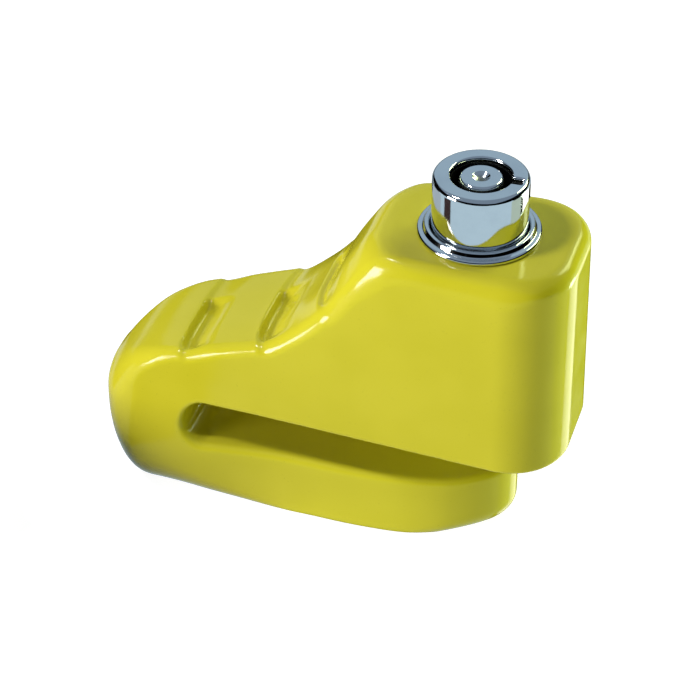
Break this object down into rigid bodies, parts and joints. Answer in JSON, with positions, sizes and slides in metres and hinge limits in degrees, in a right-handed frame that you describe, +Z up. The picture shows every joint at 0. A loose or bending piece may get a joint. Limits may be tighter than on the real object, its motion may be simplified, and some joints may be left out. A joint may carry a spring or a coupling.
{
  "type": "disc brake lock",
  "caption": "Cast C-shaped motorcycle disc brake lock with a wedge plan, finger-grip tail, disc slot and a chromed push-down barrel with a tubular keyway.",
  "frame": {"origin": "where the locking pin's axis meets the flat base of the lower jaw", "axes": "+Z up along the barrel, +X from the grip tail to the open mouth of the disc slot, +Y across the body; the body is symmetrical about Y = 0"},
  "size_m": [0.0835, 0.0304, 0.0694],
  "materials": {
    "yellow_paint": "glossy lime-yellow enamel on a zinc casting",
    "chrome": "bright chrome plate",
    "steel": "hardened, ground steel",
    "spring_steel": "oiled spring wire",
    "brass": "turned brass",
    "rubber": "black nitrile"
  },
  "bodies": {
    "body": {"lock_body": "yellow_paint", "bezel_collar": "chrome", "wiper_ring": "rubber", "pin_guide_bush": "steel", "guide_screw": "steel", "return_spring": "spring_steel"},
    "barrel": {"plunger_barrel": "chrome", "driver_block": "brass", "block_dowel": "steel", "barrel_base_plug": "steel", "cross_pin": "steel", "locking_pin": "steel", "driver_pin_1": "brass", "driver_pin_2": "brass", "driver_pin_3": "brass", "driver_pin_4": "brass", "driver_pin_5": "brass", "driver_pin_6": "brass", "driver_pin_7": "brass", "pin_spring_1": "spring_steel", "pin_spring_2": "spring_steel", "pin_spring_3": "spring_steel", "pin_spring_4": "spring_steel", "pin_spring_5": "spring_steel", "pin_spring_6": "spring_steel", "pin_spring_7": "spring_steel"},
    "plug": {"key_plug": "chrome", "latch_cam": "steel", "key_pin_1": "brass", "key_pin_2": "brass", "key_pin_3": "brass", "key_pin_4": "brass", "key_pin_5": "brass", "key_pin_6": "brass", "key_pin_7": "brass"},
    "latch": {"latch_bolt": "steel"}
  },
  "joints": [
    {"name": "barrel_slide", "type": "slide", "parent": "body", "child": "barrel", "axis": [0, 0, -1], "range_m": [0, 0.0096], "stiffness_N_per_m": 600, "springref_m": -0.004, "deforming": ["return_spring"]},
    {"name": "key_turn", "type": "hinge", "parent": "barrel", "child": "plug", "pos_m": [0, 0, 0.0615], "axis": [0, 0, 1], "range_deg": [0, 60]},
    {"name": "latch_slide", "type": "slide", "parent": "barrel", "child": "latch", "axis": [-1, 0, 0], "range_m": [0, 0.002]}
  ],
  "couplings": [
    {"joint": "key_turn", "follows": "latch_slide", "rad_per_m": 523.59}
  ]
}
